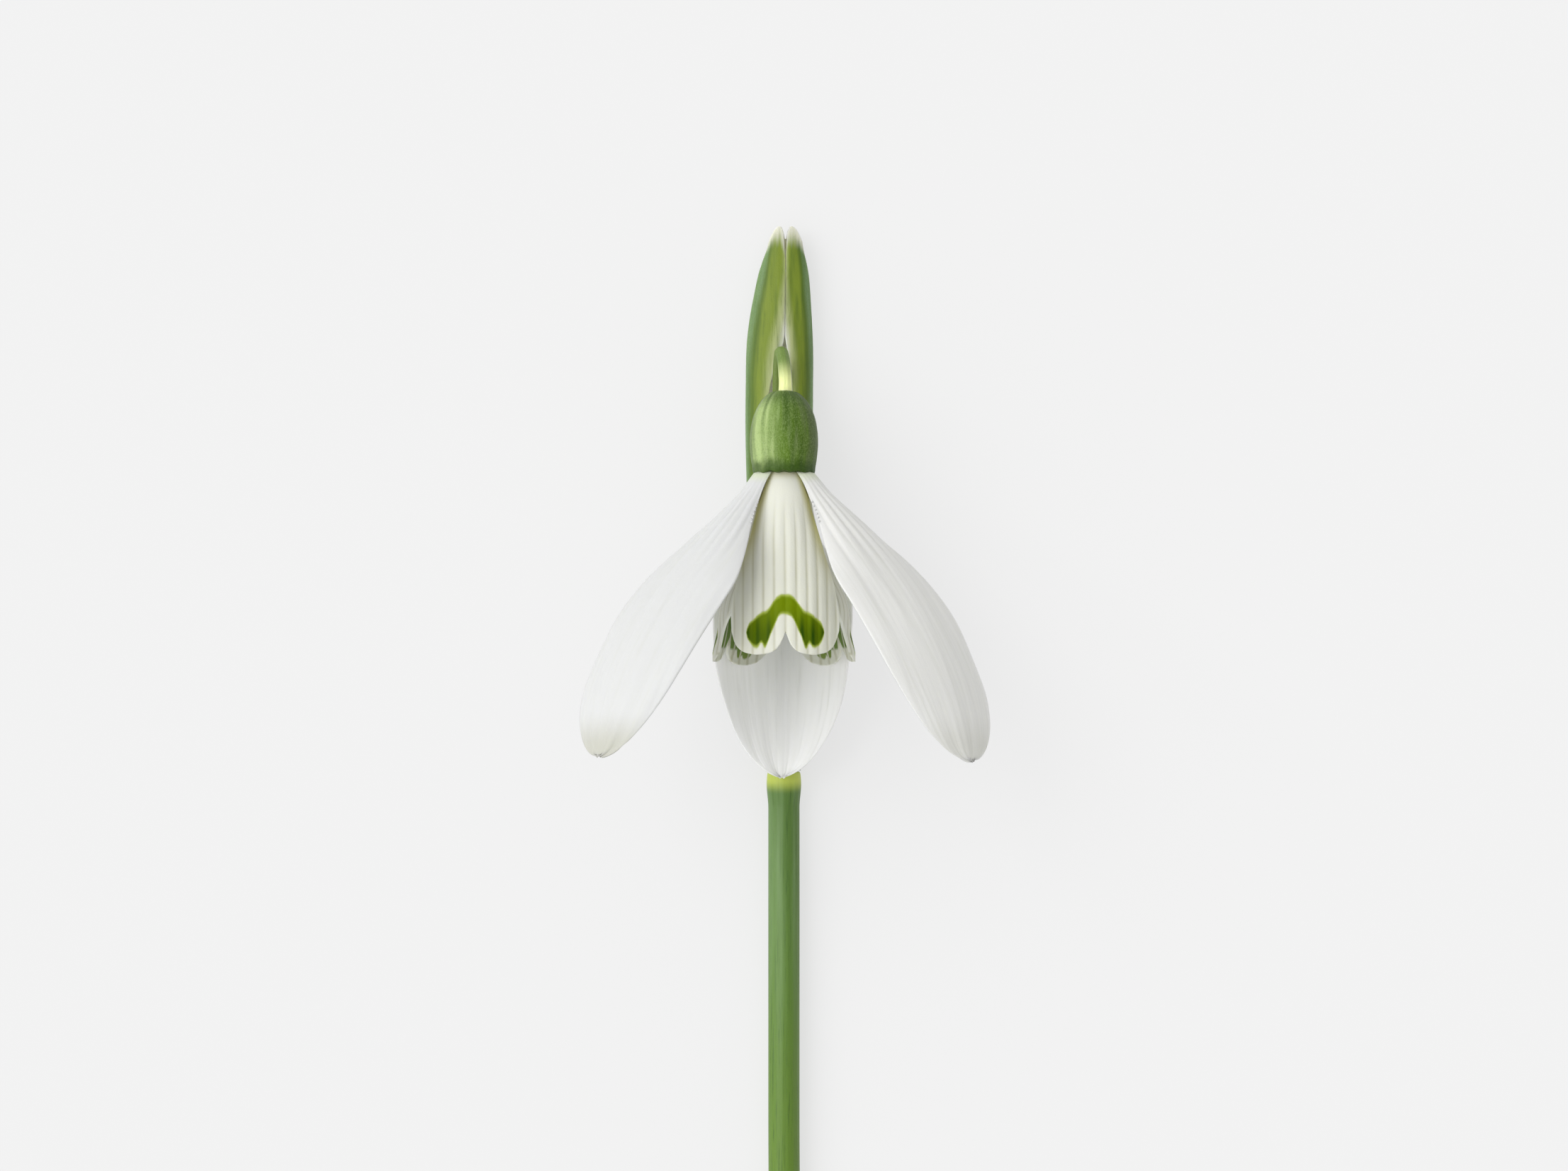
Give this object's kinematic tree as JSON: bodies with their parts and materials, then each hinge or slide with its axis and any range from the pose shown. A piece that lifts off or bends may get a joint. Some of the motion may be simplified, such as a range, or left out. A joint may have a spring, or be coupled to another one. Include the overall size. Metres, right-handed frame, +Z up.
{
  "type": "snowdrop flower",
  "caption": "Cut snowdrop lying on its back: round stem, slit bract sheath, arched stalk, green ovary, spread outer petals and a notched inner cup.",
  "frame": {"origin": "middle of the plant's footprint, on the surface that it lies on", "axes": "+Z up from the surface to the side the flower faces, +Y along the stem towards the tip of the sheath, +X to the right of someone looking down at the flower with the sheath's tip upwards"},
  "size_m": [0.0284, 0.0992, 0.0183],
  "materials": {
    "stem_green": "satin",
    "sheath_green": "satin",
    "stalk_green": "satin",
    "ovary_green": "satin",
    "outer_petal_white": "satin",
    "inner_petal_white": "satin",
    "anther_orange": "matte",
    "style_green": "satin"
  },
  "bodies": {
    "root": {"scape": "stem_green", "spathe": "sheath_green", "pedicel": "stalk_green", "ovary": "ovary_green", "outer_tepal_left": "outer_petal_white", "outer_tepal_right": "outer_petal_white", "outer_tepal_back": "outer_petal_white", "inner_tepal_front": "inner_petal_white", "inner_tepal_left": "inner_petal_white", "inner_tepal_right": "inner_petal_white", "stamen_1": "anther_orange", "stamen_2": "anther_orange", "stamen_3": "anther_orange", "stamen_4": "anther_orange", "stamen_5": "anther_orange", "stamen_6": "anther_orange", "style": "style_green"}
  },
  "joints": []
}
